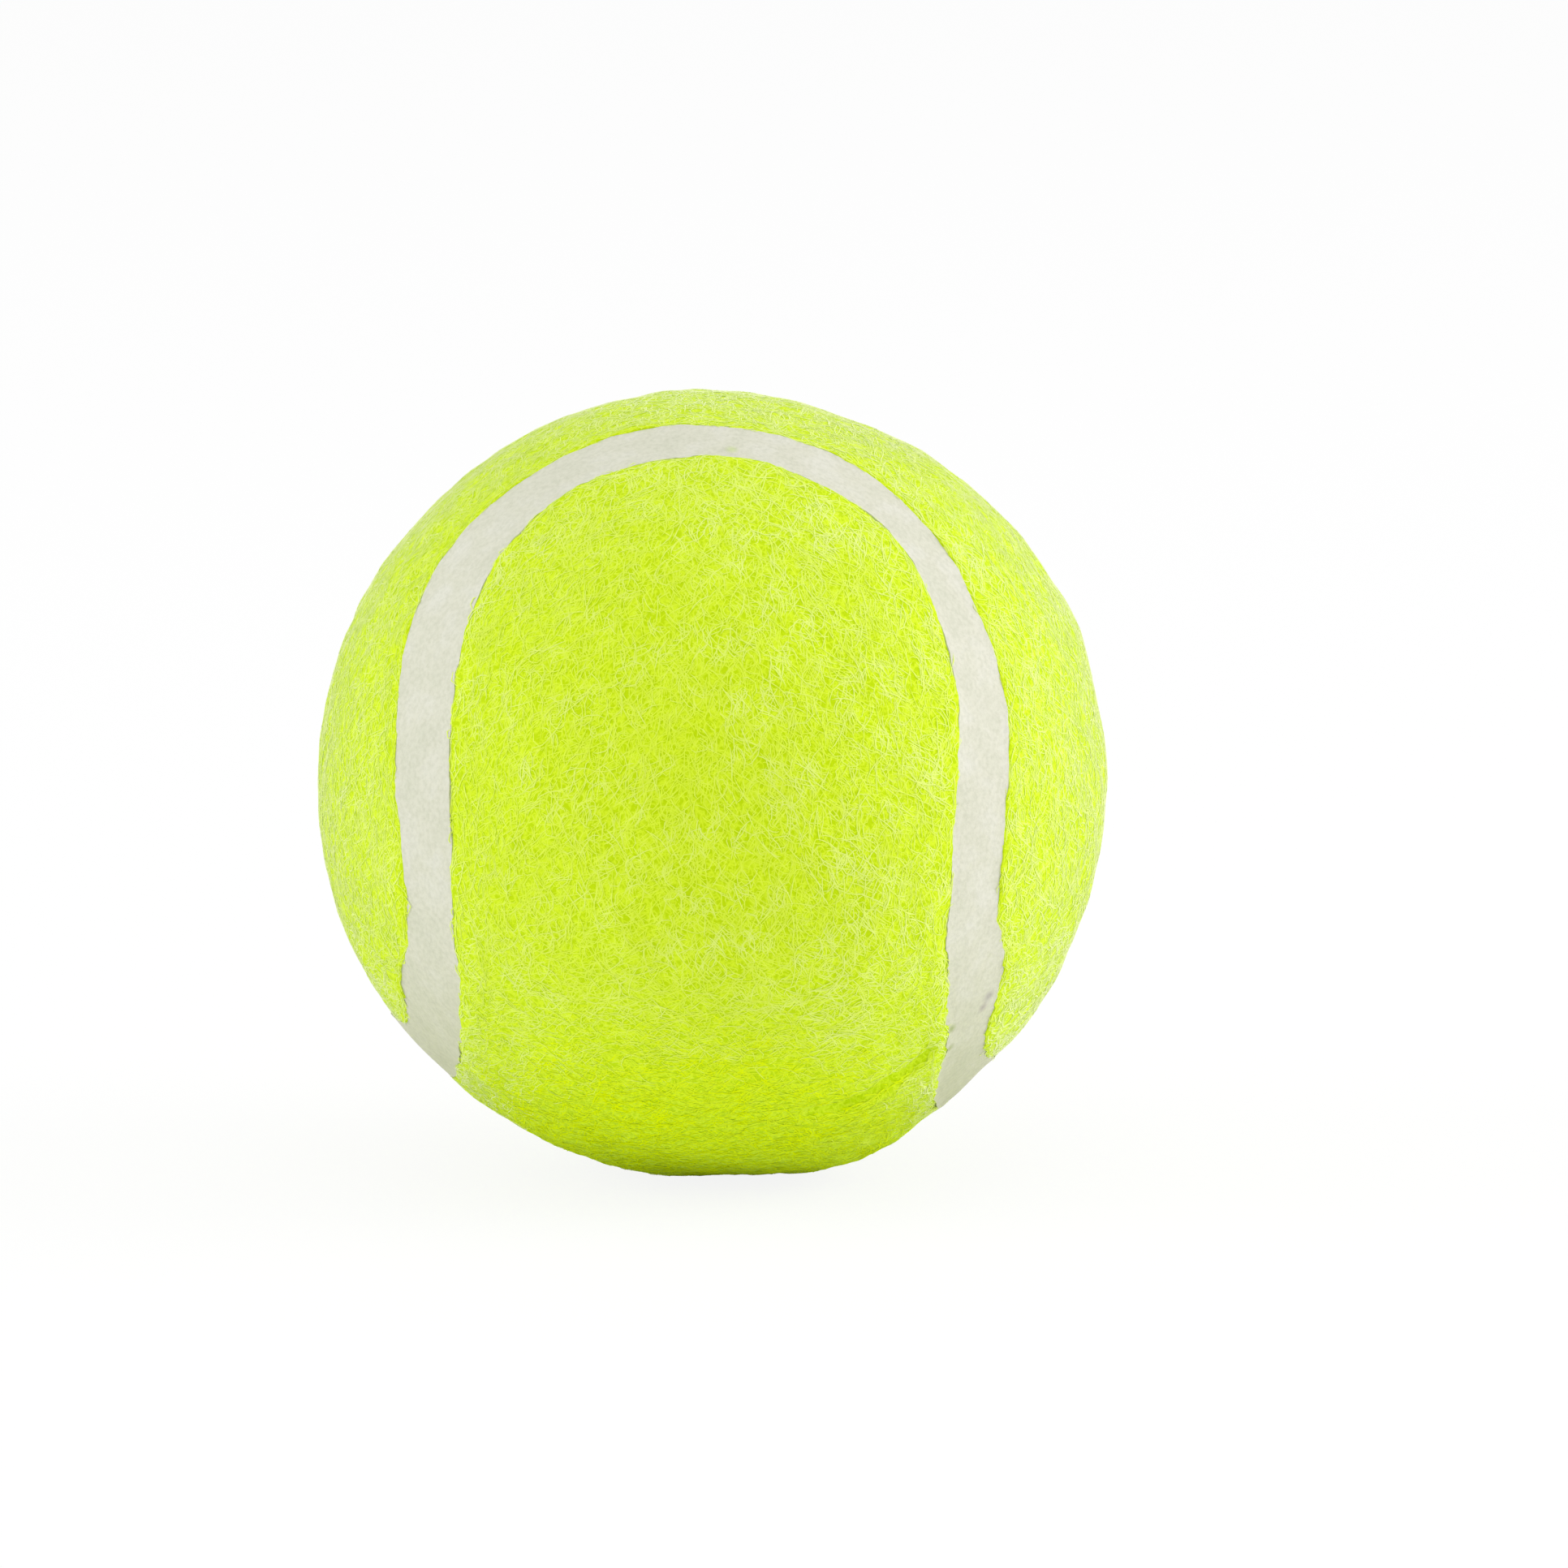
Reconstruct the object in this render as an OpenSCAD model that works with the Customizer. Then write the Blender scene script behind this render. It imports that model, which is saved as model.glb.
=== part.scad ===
// Felt-covered dog chew ball: a hollow rubber core moulded in two halves and cemented
// together, a bonding coat, two dumbbell-shaped felt panels on a woven backing, and the
// rubber seam band that fills the gap between the panels.
// Millimetres, +Z up, origin at the centre of the ball.

/* [Ball] */
// Diameter of the ball over the felt nap
ball_d = 60; // [45:0.5:90]
// How far the front felt lobe leans up from the horizontal, as the ball lies
lobe_lift = 23; // [0:1:90]

/* [Felt cover] */
// Thickness of the felt nap
nap_t = 2.4; // [1:0.1:4]
// Thickness of the woven backing under the nap
backing_t = 0.8; // [0.4:0.1:1.5]
// Thickness of the rubber coat that bonds the cover to the core
coat_t = 0.3; // [0.1:0.05:0.6]

/* [Seam band] */
// Width of the seam band, measured at the top of the nap
seam_w = 4.8; // [2:0.1:8]
// How far the seam band lies below the top of the nap
seam_recess = 0.4; // [0.2:0.1:0.9]

/* [Core] */
// Wall of the rubber core
core_wall = 3.6; // [2:0.1:6]
// Thickness of the cement layer between the two core halves
cement_t = 0.3; // [0.1:0.05:0.8]
// Chamfer on the inner edge of each core rim
rim_chamfer = 0.8; // [0.3:0.1:1.5]

/* [Hidden] */
$fn = 96;

// Radii of the layers, from the nap inwards
nap_r = ball_d / 2;
backing_r = nap_r - nap_t;
coat_r = backing_r - backing_t;
core_r = coat_r - coat_t;
bore_r = core_r - core_wall;
seam_r = nap_r - seam_recess;

// The seam runs along four half circles, two round the front-to-back axis on the upper
// half and two round the side-to-side axis on the lower half. They run smoothly into each
// other when each lies 45 degrees from its axis.
lobe_angle = 45;
seam_half_angle = seam_w / 2 / nap_r * 180 / PI;
panel_end_angle = lobe_angle - seam_half_angle;
panel_side_angle = lobe_angle + seam_half_angle;

// Cutting tools reach past the nap
reach = ball_d;
// A quarter turn about the first of these axes takes +Z onto the front-to-back lobe axis, and
// about the second onto the side-to-side one
FRONT_TO_BACK = [1, 0, 0];
SIDE_TO_SIDE = [0, 1, 0];

// Turns a piece from the seam's own axes to the way the ball lies
module as_it_lies() {
    rotate([-lobe_lift, 0, 0]) children();
}

module shell(outer_r, inner_r) {
    difference() {
        sphere(outer_r);
        sphere(inner_r);
    }
}

// Two cones that meet tip to tip at the centre, along an axis, out to a half angle. A cone on
// one lobe axis meets the cone on the other along a line of the middle plane.
module double_cone(turn_axis, half_angle) {
    rotate(90, turn_axis)
        for (flip = [0, 180])
            rotate([flip, 0, 0])
                cylinder(h = reach * cos(half_angle), r1 = 0, r2 = reach * sin(half_angle));
}

// The space above the seam's middle plane (side = 1) or below it (side = -1)
module half_space(side) {
    translate([0, 0, side * reach]) cube(2 * reach, center = true);
}

// A layer of a panel. Its two lobes end above the middle plane, in the front-to-back cones,
// and its waist passes below it, between the lobes of the other panel.
module panel_layer(outer_r, inner_r) {
    difference() {
        shell(outer_r, inner_r);
        difference() {
            half_space(1);
            double_cone(FRONT_TO_BACK, panel_end_angle);
        }
        intersection() {
            half_space(-1);
            double_cone(SIDE_TO_SIDE, panel_side_angle);
        }
    }
}

module front_layer(outer_r, inner_r) {
    as_it_lies() panel_layer(outer_r, inner_r);
}

// The second panel has the same cut, turned over about the diagonal between the lobe axes
module side_layer(outer_r, inner_r) {
    as_it_lies() rotate(180, [1, 1, 0]) panel_layer(outer_r, inner_r);
}

// Half of the seam band, on one side of the middle plane
module seam_half(turn_axis, side) {
    intersection() {
        shell(seam_r, coat_r);
        half_space(side);
        difference() {
            double_cone(turn_axis, panel_side_angle);
            double_cone(turn_axis, panel_end_angle);
        }
    }
}

// Half of the core, with its rim set back for half of the cement layer and its inner edge
// chamfered
module core_half(side) {
    as_it_lies()
        difference() {
            shell(core_r, bore_r);
            translate([0, 0, side * (cement_t / 2 - reach)])
                cube(2 * reach, center = true);
            translate([0, 0, side * cement_t / 2])
                rotate([90 - 90 * side, 0, 0])
                    cylinder(h = rim_chamfer, r1 = bore_r + rim_chamfer, r2 = bore_r);
        }
}

module core_half_upper() {
    color("dimgray") core_half(1);
}

module core_half_lower() {
    color("gray") core_half(-1);
}

// The cement fills the gap between the rims and squeezes out as a bead in their chamfers
module core_joint_cement() {
    color("burlywood")
        as_it_lies()
            intersection() {
                shell(core_r, bore_r);
                rotate_extrude()
                    polygon([
                        [bore_r - rim_chamfer, cement_t / 2 + rim_chamfer],
                        [bore_r, cement_t / 2 + rim_chamfer],
                        [bore_r + rim_chamfer, cement_t / 2],
                        [core_r + rim_chamfer, cement_t / 2],
                        [core_r + rim_chamfer, -cement_t / 2],
                        [bore_r + rim_chamfer, -cement_t / 2],
                        [bore_r, -cement_t / 2 - rim_chamfer],
                        [bore_r - rim_chamfer, -cement_t / 2 - rim_chamfer]
                    ]);
            }
}

module core_bond_coat() {
    color("tan") shell(coat_r, core_r);
}

module front_panel_backing() {
    color("palegoldenrod") front_layer(backing_r, coat_r);
}

module side_panel_backing() {
    color("khaki") side_layer(backing_r, coat_r);
}

module front_felt_panel() {
    color([0.80, 0.91, 0.22]) front_layer(nap_r, backing_r);
}

module side_felt_panel() {
    color([0.84, 0.94, 0.34]) side_layer(nap_r, backing_r);
}

module seam_band() {
    color([0.87, 0.87, 0.80])
        as_it_lies() {
            seam_half(FRONT_TO_BACK, 1);
            seam_half(SIDE_TO_SIDE, -1);
        }
}

core_half_upper();
core_half_lower();
core_joint_cement();
core_bond_coat();
front_panel_backing();
side_panel_backing();
front_felt_panel();
side_felt_panel();
seam_band();
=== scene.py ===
# %% [markdown]
# # A felt-covered chew ball
# The real ball is a hollow rubber core under two dumbbell-shaped felt panels, with a band of pale
# rubber in the gap between them. The frame already holds all nine pieces at their real size and
# place. This lesson gives the pieces their real surface: a matted, fibrous nap with soft cut
# edges, and a smooth rubber seam that wanders a little, as a seam laid by a machine in soft
# material does.

# %% Load the frame
import math

import bmesh
import bpy
import numpy as np
from mathutils import Matrix, Vector


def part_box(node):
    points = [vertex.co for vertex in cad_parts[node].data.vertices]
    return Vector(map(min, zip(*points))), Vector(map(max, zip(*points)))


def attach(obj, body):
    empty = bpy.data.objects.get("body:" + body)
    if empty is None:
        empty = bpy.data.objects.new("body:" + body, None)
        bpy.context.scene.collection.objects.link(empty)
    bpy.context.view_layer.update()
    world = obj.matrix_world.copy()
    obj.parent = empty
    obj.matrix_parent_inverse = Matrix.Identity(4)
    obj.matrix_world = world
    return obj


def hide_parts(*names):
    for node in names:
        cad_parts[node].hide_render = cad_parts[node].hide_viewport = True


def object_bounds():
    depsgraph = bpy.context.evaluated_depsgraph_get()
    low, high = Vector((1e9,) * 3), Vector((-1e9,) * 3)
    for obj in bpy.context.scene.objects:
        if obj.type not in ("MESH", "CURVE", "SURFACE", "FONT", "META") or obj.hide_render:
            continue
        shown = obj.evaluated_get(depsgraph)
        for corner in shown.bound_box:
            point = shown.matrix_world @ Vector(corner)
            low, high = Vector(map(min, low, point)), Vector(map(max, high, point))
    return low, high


MM = 0.001
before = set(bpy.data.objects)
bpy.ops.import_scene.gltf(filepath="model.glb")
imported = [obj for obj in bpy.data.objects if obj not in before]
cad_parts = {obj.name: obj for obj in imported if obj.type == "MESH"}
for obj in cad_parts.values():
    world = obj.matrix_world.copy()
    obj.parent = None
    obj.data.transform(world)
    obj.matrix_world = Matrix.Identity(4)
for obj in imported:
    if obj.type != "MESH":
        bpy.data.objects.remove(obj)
cad_low, cad_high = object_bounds()
print("frame box in mm:", [round(side / MM, 2) for side in cad_high - cad_low])

# %% [markdown]
# ## The sizes that everything follows
# Nothing is measured twice: the radii of the layers, the edge of the felt and the lean of the
# ball all come out of the boxes of the frame's own nodes. In the seam's own axes the seam is four
# half circles, two round the front-to-back axis above and two round the side-to-side axis below.
# Each lies 45 degrees from its axis, so one more angle tells where the felt ends.

# %% Sizes from the frame
LOBE_ANGLE = math.pi / 4
felt_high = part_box("front_felt_panel")[1]
nap_r = felt_high.y
backing_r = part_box("front_panel_backing")[1].y
coat_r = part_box("core_bond_coat")[1].z
side_edge = math.acos(felt_high.x / nap_r)
end_edge = math.pi / 2 - side_edge
lobe_lift = math.asin(felt_high.z / nap_r) - end_edge
seam_half = (side_edge - LOBE_ANGLE) * nap_r
seam_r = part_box("seam_band")[1].x / math.sin(side_edge)
# Turns a point from the seam's own axes to the way the ball lies
AS_IT_LIES = np.array(Matrix.Rotation(-lobe_lift, 3, "X"))
print(f"nap radius {nap_r / MM:.2f} mm, seam {2 * seam_half / MM:.2f} mm wide, "
      f"lobe leans {math.degrees(lobe_lift):.1f} degrees")

# %% [markdown]
# ## Camera
# The photograph was taken from far off with a long lens. Forty radii away, a ball looks as flat
# as that. The outline of a ball is where lines of sight just touch it, so its radius in pixels
# and the distance give the length of the lens, and nothing has to be tried out.

# %% Lens
PHOTO_SIDE_PX = 1932
BALL_CENTRE_PX = (877.7, 965.0)
BALL_RADIUS_PX = 487.8
SIGHT_DISTANCE = 40 * nap_r
SENSOR_MM = 36
NEAREST_SEEN = 0.01
FARTHEST_SEEN = 50
scene = bpy.context.scene
scene.view_settings.view_transform = "Standard"
focal_px = BALL_RADIUS_PX / math.tan(math.asin(nap_r / SIGHT_DISTANCE))
lens = bpy.data.cameras.new("photo_camera")
lens.sensor_width = SENSOR_MM
lens.lens = focal_px / PHOTO_SIDE_PX * SENSOR_MM
lens.clip_start = NEAREST_SEEN
lens.clip_end = FARTHEST_SEEN
print(f"lens {lens.lens:.0f} mm at {SIGHT_DISTANCE:.2f} m")

# %% [markdown]
# The camera stands a little above the ball and looks at it, then pans a touch so that the ball
# sits left of the middle of the picture, as it does in the photograph. A shift of the lens would
# do that too, but a pan leaves the lens alone, so every other view stays centred.

# %% Aim the camera
SIGHT_AZIMUTH = math.radians(2.45)
SIGHT_ELEVATION = math.radians(9.4)
camera = bpy.data.objects.new("photo_camera", lens)
scene.collection.objects.link(camera)
scene.camera = camera
along_floor = math.cos(SIGHT_ELEVATION)
sight = Vector((math.sin(SIGHT_AZIMUTH) * along_floor, -math.cos(SIGHT_AZIMUTH) * along_floor,
                math.sin(SIGHT_ELEVATION)))
pan, tilt = [math.atan((centre - PHOTO_SIDE_PX / 2) / focal_px) for centre in BALL_CENTRE_PX]
turn = sight.to_track_quat("Z", "Y").to_matrix()
turn = turn @ Matrix.Rotation(pan, 3, "Y") @ Matrix.Rotation(tilt, 3, "X")
camera.matrix_world = Matrix.Translation(sight * SIGHT_DISTANCE) @ turn.to_4x4()
print(f"camera panned {math.degrees(pan):.2f} degrees and tilted {math.degrees(tilt):.2f}")

# %% [markdown]
# Some marks on this one ball are best placed on the photograph. A line of sight through a pixel is cut
# with the ball, which gives the place on the ball that the pixel shows. Typing in places in metres would
# work as well, but nobody could check them against the photograph.

# %% From a pixel to a place on the ball
def photo_spot(x, y):
    """The place that a pixel of the photograph shows, as a direction from the ball's centre."""
    middle = PHOTO_SIDE_PX / 2
    ray = turn @ Vector(((x - middle) / focal_px, (middle - y) / focal_px, -1)).normalized()
    eye = sight * SIGHT_DISTANCE
    nearest = eye.dot(ray)
    depth = max(nearest ** 2 - eye.length_squared + nap_r ** 2, 0)
    return np.array((eye - ray * (nearest + math.sqrt(depth))) / nap_r)


def seam_spot(x, y):
    """The same place in the seam's own axes."""
    return photo_spot(x, y) @ AS_IT_LIES


print("the middle of the ball faces", photo_spot(*BALL_CENTRE_PX).round(3))

# %% [markdown]
# ## Finishes, one short function each
# Dye, rubber and cloth are written below in the colours that a screen shows, because that is how
# a maker compares them with a picture. A shader adds up light, which needs linear values. Those
# could be typed in, but a function keeps the numbers that a reader knows.

# %% Screen colours
def screen(red, green, blue):
    """A colour as a screen shows it, from 0 to 255, as the linear values that a shader takes."""
    levels = [value / 255 for value in (red, green, blue)]
    linear = [(v / 12.92 if v <= 0.04045 else ((v + 0.055) / 1.055) ** 2.4) for v in levels]
    return (*linear, 1.0)


WHITE = screen(255, 255, 255)
print("a screen's middle grey gives", round(screen(128, 128, 128)[0], 2), "of the light of white")

# %% [markdown]
# A material is a small network of nodes. Each finish here starts from the same Principled
# surface, which stands for felt, rubber or cloth by its settings alone. The editor could wire the
# nodes by hand, but with two helpers a finish is a few lines that can be read.

# %% Nodes and new finishes
SURFACE = "Principled BSDF"


def add_node(tree, kind, **settings):
    """Adds a node. A setting with a capital is the value of a socket, and any other an option."""
    node = tree.nodes.new(kind)
    for name, value in settings.items():
        if name[0].isupper():
            node.inputs[name.replace("_", " ")].default_value = value
        else:
            setattr(node, name, value)
    return node


def new_finish(name, **sockets):
    """A material with a Principled surface, and the tree that its pattern is drawn in."""
    material = bpy.data.materials.new(name)
    material.use_nodes = True
    tree = material.node_tree
    surface = tree.nodes[SURFACE]
    for socket, value in sockets.items():
        surface.inputs[socket.replace("_", " ")].default_value = value
    return material, tree, surface


print("each finish starts from a", SURFACE)

# %% [markdown]
# The patterns are noise, coloured by ramps and laid over each other. They read Object coordinates,
# which are metres in the frame, so a noise scale of one over its grain size gives the grain its
# real size. A picture wrapped round the ball would need a map of it, and would show where it ends.

# %% Patterns
def grain(tree, size, detail=3.0):
    """Noise in Object coordinates whose lumps are about as large as size, in metres."""
    place = add_node(tree, "ShaderNodeTexCoord").outputs["Object"]
    noise = add_node(tree, "ShaderNodeTexNoise", Scale=1 / size, Detail=detail, Roughness=0.55)
    tree.links.new(place, noise.inputs["Vector"])
    return noise.outputs["Fac"]


def blend(tree, way, first, second):
    """Two colours mixed in one of the ways that layers of a picture are."""
    mix = add_node(tree, "ShaderNodeMix", data_type="RGBA", blend_type=way)
    mix.inputs["Factor"].default_value = 1.0
    tree.links.new(first, mix.inputs["A"])
    tree.links.new(second, mix.inputs["B"])
    return mix.outputs["Result"]


def ramp(tree, source, *stops):
    """Colours along a value: each stop is a place from 0 to 1 and a colour."""
    node = add_node(tree, "ShaderNodeValToRGB")
    elements = node.color_ramp.elements
    elements[0].position, elements[0].color = stops[0]
    elements[1].position, elements[1].color = stops[-1]
    for place, colour in stops[1:-1]:
        elements.new(place).color = colour
    tree.links.new(source, node.inputs["Fac"])
    return node.outputs["Color"]


print("a grain of one millimetre has a noise scale of", round(1 / MM))

# %% [markdown]
# A finish is more than its colour. Felt and rubber are not equally rough all over, and both have
# bumps that are too fine to model. One helper spreads a pattern over a range of roughness, and
# one turns a pattern into bumps of a real depth that cost no faces.

# %% Roughness and relief
def roughen(tree, surface, size, low, high):
    """Roughness that goes from low to high in patches of that size."""
    patches = add_node(tree, "ShaderNodeMapRange", To_Min=low, To_Max=high)
    tree.links.new(grain(tree, size), patches.inputs["Value"])
    tree.links.new(patches.outputs["Result"], surface.inputs["Roughness"])


def relief(tree, surface, height, depth):
    """Bumps of the given depth, in metres, on the surface."""
    bump = add_node(tree, "ShaderNodeBump", Strength=1.0, Distance=depth)
    tree.links.new(height, bump.inputs["Height"])
    tree.links.new(bump.outputs["Normal"], surface.inputs["Normal"])


print(f"bumps of 0.05 mm are {0.05 * MM / nap_r:.2%} of the ball's radius")

# %% [markdown]
# ### Felt
# The nap is a mat of dyed fibres. Deep in the mat the dye looks darker and greener, because light
# bounces from fibre to fibre. The ground below the loose fibres gets that deep colour, with paler
# threads in it. Real threads down there would be hidden by the fibres on top, so lines are drawn
# instead, along the contours of a noise, which curl as fibres do.

# %% Felt ground finish
MAT_DEEP = screen(194, 225, 8)
MAT_THREAD = screen(218, 244, 46)
MAT_CURLS = (0.9 * MM, 0.6 * MM)
MAT_LINE = 0.07
SHEEN_ROUGHNESS = 0.55


def matted_threads(tree, size):
    """Pale lines on the deep dye, where a noise is half way up."""
    contours = grain(tree, size, detail=1)
    return ramp(tree, contours, (0.5 - MAT_LINE, MAT_DEEP), (0.5, MAT_THREAD),
                (0.5 + MAT_LINE, MAT_DEEP))


def felt_mat():
    """Deep dye, with coarse and fine threads matted in it."""
    material, tree, surface = new_finish("felt_mat", Sheen_Weight=0.08, Specular_IOR_Level=0.0,
                                         Sheen_Roughness=SHEEN_ROUGHNESS)
    coarse, fine = [matted_threads(tree, size) for size in MAT_CURLS]
    tree.links.new(blend(tree, "LIGHTEN", coarse, fine), surface.inputs["Base Color"])
    roughen(tree, surface, 0.5 * MM, low=0.8, high=1.0)
    relief(tree, surface, grain(tree, 0.25 * MM, detail=4), depth=0.06 * MM)
    return material


FELT_MAT = felt_mat()
print("felt ground finish:", FELT_MAT.name, "of", len(FELT_MAT.node_tree.nodes), "nodes")

# %% [markdown]
# At the top of the mat single fibres are paler, and no two neighbours look the same. A finish for each
# shade would be a long list. Instead each fibre carries a number of its own in a UV map, and a ramp turns
# that number into a colour. Fibre ends give the rim of the ball a pale bloom, which the sheen of a
# surface can show. Fibres in the strip of painted shade near the ground get a shaded copy of the finish,
# with no sheen or gloss and a deep colour of its own.

# %% Felt fibre finishes
# The export can bake through a map of this name
FIBRE_MAP = "OFBake"
FELT_DEEP = screen(218, 246, 2)
# Deep colour of the shaded copy of the fibre finish, for the strip of painted shade near the ground
SHADED_COPY_DEEP = screen(230, 250, 3)
FELT_MIDDLE = screen(224, 248, 48)
FELT_PALE = screen(232, 250, 124)


def felt_fibre(name, deep, bloom, gloss):
    """Fibres whose map holds their roughness from side to side, and their tone upwards."""
    material, tree, surface = new_finish(name, Sheen_Weight=bloom, Specular_IOR_Level=gloss,
                                         Sheen_Roughness=SHEEN_ROUGHNESS)
    place = add_node(tree, "ShaderNodeUVMap", uv_map=FIBRE_MAP).outputs["UV"]
    parts = add_node(tree, "ShaderNodeSeparateXYZ")
    tree.links.new(place, parts.inputs["Vector"])
    colour = ramp(tree, parts.outputs["Y"], (0.0, deep), (0.5, FELT_MIDDLE), (1.0, FELT_PALE))
    tree.links.new(colour, surface.inputs["Base Color"])
    rough = add_node(tree, "ShaderNodeMapRange", To_Min=0.5, To_Max=0.85)
    tree.links.new(parts.outputs["X"], rough.inputs["Value"])
    tree.links.new(rough.outputs["Result"], surface.inputs["Roughness"])
    return material


LOOSE_FIBRE = felt_fibre("loose_felt_fibre", FELT_DEEP, bloom=0.75, gloss=0.15)
# A shaded copy of the fibre finish, without sheen or gloss, for the strip of painted shade near the
# ground
SHADED_FIBRE = felt_fibre("shaded_felt_fibre", SHADED_COPY_DEEP, bloom=0.0, gloss=0.0)
print("felt fibre finishes:", LOOSE_FIBRE.name, SHADED_FIBRE.name)

# %% [markdown]
# ### Seam rubber
# The seam is painted darker and yellower towards the ground, as painted shade, and a few small stains sit
# on it where the photograph shows them. Such marks could be painted on a picture of the surface. Here
# each one is a tint round a place in the frame, so it needs no map and stays where it is on any mesh.

# %% Painted shade and stains
# Painted shade: the seam is tinted darker and yellower below this height
LOW_SHADE_START = -9 * MM
LOW_SHADE_END = -26 * MM
LOW_SHADE_TINT = screen(232, 234, 219)
STAIN_CORE = 0.2
# Photo x and y, reach in mm and tint of a small stain
STAINS = (
    (902, 548, 0.6, screen(240, 252, 212)),
    (1223, 1231, 0.7, screen(218, 214, 224)),
    (1216, 1245, 0.6, screen(222, 216, 226)),
    (1176, 1272, 0.6, screen(212, 224, 182)),
    (1174, 1297, 0.6, screen(212, 220, 186)),
)


def shaded_low(tree, place):
    """A darker, yellower tint that sets in towards the ground: painted shade."""
    parts = add_node(tree, "ShaderNodeSeparateXYZ")
    tree.links.new(place, parts.inputs["Vector"])
    low = add_node(tree, "ShaderNodeMapRange", From_Min=LOW_SHADE_START, From_Max=LOW_SHADE_END)
    tree.links.new(parts.outputs["Z"], low.inputs["Value"])
    return ramp(tree, low.outputs["Result"], (0.0, WHITE), (1.0, LOW_SHADE_TINT))


def stained(tree, place, x, y, reach, tint):
    """A tint round one spot of the seam, with a soft edge."""
    distance = add_node(tree, "ShaderNodeVectorMath", operation="DISTANCE")
    tree.links.new(place, distance.inputs[0])
    distance.inputs[1].default_value = photo_spot(x, y) * seam_r
    fade = add_node(tree, "ShaderNodeMapRange", From_Min=0.0, From_Max=reach * MM)
    tree.links.new(distance.outputs["Value"], fade.inputs["Value"])
    return ramp(tree, fade.outputs["Result"], (STAIN_CORE, tint), (1.0, WHITE))


# Soil in this print is the painted shade of the seam towards the ground.
print(len(STAINS), "stains, and soil from", round(LOW_SHADE_START / MM), "mm downwards")

# %% [markdown]
# The rubber itself is off-white and matt. One flat colour would look like plastic, so a slow cloud leads
# from one pale tone to another, with specks of dust on it. The dust, the painted shade towards the ground
# and the stains are all tints, and multiplying keeps the cloud visible through them.

# %% Seam rubber
CLOUD = ((0.32, screen(213, 214, 195)), (0.5, screen(218, 218, 200)), (0.68, screen(222, 222, 208)))
DUST = ((0.3, screen(242, 243, 240)), (0.62, WHITE))


def seam_rubber():
    """Off-white rubber: cloudy, dusty, painted in shade towards the ground, with a few small stains."""
    material, tree, surface = new_finish("pale_seam_rubber", Specular_IOR_Level=0.3)
    place = add_node(tree, "ShaderNodeTexCoord").outputs["Object"]
    colour = ramp(tree, grain(tree, 3.0 * MM, detail=5), *CLOUD)
    # Dust, then the painted shade towards the ground
    tints = [ramp(tree, grain(tree, 0.35 * MM, detail=2), *DUST), shaded_low(tree, place)]
    tints += [stained(tree, place, *stain) for stain in STAINS]
    for tint in tints:
        colour = blend(tree, "MULTIPLY", colour, tint)
    tree.links.new(colour, surface.inputs["Base Color"])
    roughen(tree, surface, 1.2 * MM, low=0.55, high=0.8)
    relief(tree, surface, grain(tree, 0.3 * MM), depth=0.04 * MM)
    return material


SEAM_RUBBER = seam_rubber()
print("seam finish:", SEAM_RUBBER.name, "of", len(SEAM_RUBBER.node_tree.nodes), "nodes")

# %% [markdown]
# ### Pieces inside
# The core, its cement and the woven backing lie inside, where only a cut ball would show them, and
# they still get their own grain. The core is moulded and the cement spread, so noise suits both.
# Cloth has bands of thread both ways. Threads of real mesh would be many faces that nobody sees,
# so two wave textures cross each other instead.

# %% Core rubber, cement and woven backing
THREAD_PITCH = 0.6 * MM
# A wave texture of scale one repeats at this pitch
WAVE_PITCH = math.pi / 10


def moulded(name, dark, light, size, low, high):
    """A cast or spread material: mottles, smaller rough patches in them, and yet finer bumps."""
    material, tree, surface = new_finish(name)
    colour = ramp(tree, grain(tree, size), (0.3, dark), (0.7, light))
    tree.links.new(colour, surface.inputs["Base Color"])
    roughen(tree, surface, size / 3, low, high)
    relief(tree, surface, grain(tree, size / 6), depth=0.05 * MM)
    return material


def woven(name, dark, light):
    """Cloth: bands of thread both ways, paler where a thread comes to the top."""
    material, tree, surface = new_finish(name, Specular_IOR_Level=0.2)
    place = add_node(tree, "ShaderNodeTexCoord").outputs["Object"]
    bands = []
    for way in ("X", "Z"):
        band = add_node(tree, "ShaderNodeTexWave", bands_direction=way, Distortion=0.4,
                        Scale=WAVE_PITCH / THREAD_PITCH)
        tree.links.new(place, band.inputs["Vector"])
        bands.append(band.outputs["Color"])
    threads = blend(tree, "DIFFERENCE", *bands)
    tree.links.new(ramp(tree, threads, (0.0, dark), (0.8, light)), surface.inputs["Base Color"])
    roughen(tree, surface, 0.4 * MM, low=0.8, high=0.95)
    relief(tree, surface, threads, depth=0.12 * MM)
    return material


CORE_RUBBER = moulded("dark_core_rubber", screen(40, 40, 42), screen(62, 61, 60), 2 * MM, 0.6, 0.85)
CEMENT = moulded("cement_film", screen(150, 122, 78), screen(188, 160, 108), 3 * MM, 0.35, 0.6)
BACKING = woven("backing_weave", screen(176, 166, 126), screen(222, 216, 184))
print("finishes inside:", CORE_RUBBER.name, CEMENT.name, BACKING.name)

# %% [markdown]
# ## Ground and light
# The photograph has a white ground. A floor that is only lit comes out grey, and more light would
# bleach the felt. So the floor shows the camera mostly plain white, mixed with a little of its lit
# paint, which carries a trace of the ball's shadow. Light Path tells which rays only bring light.

# %% White where it is seen
FLOOR_WHITE = 0.88
FLOOR_PAINT = (0.98, 0.98, 0.98, 1)


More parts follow.
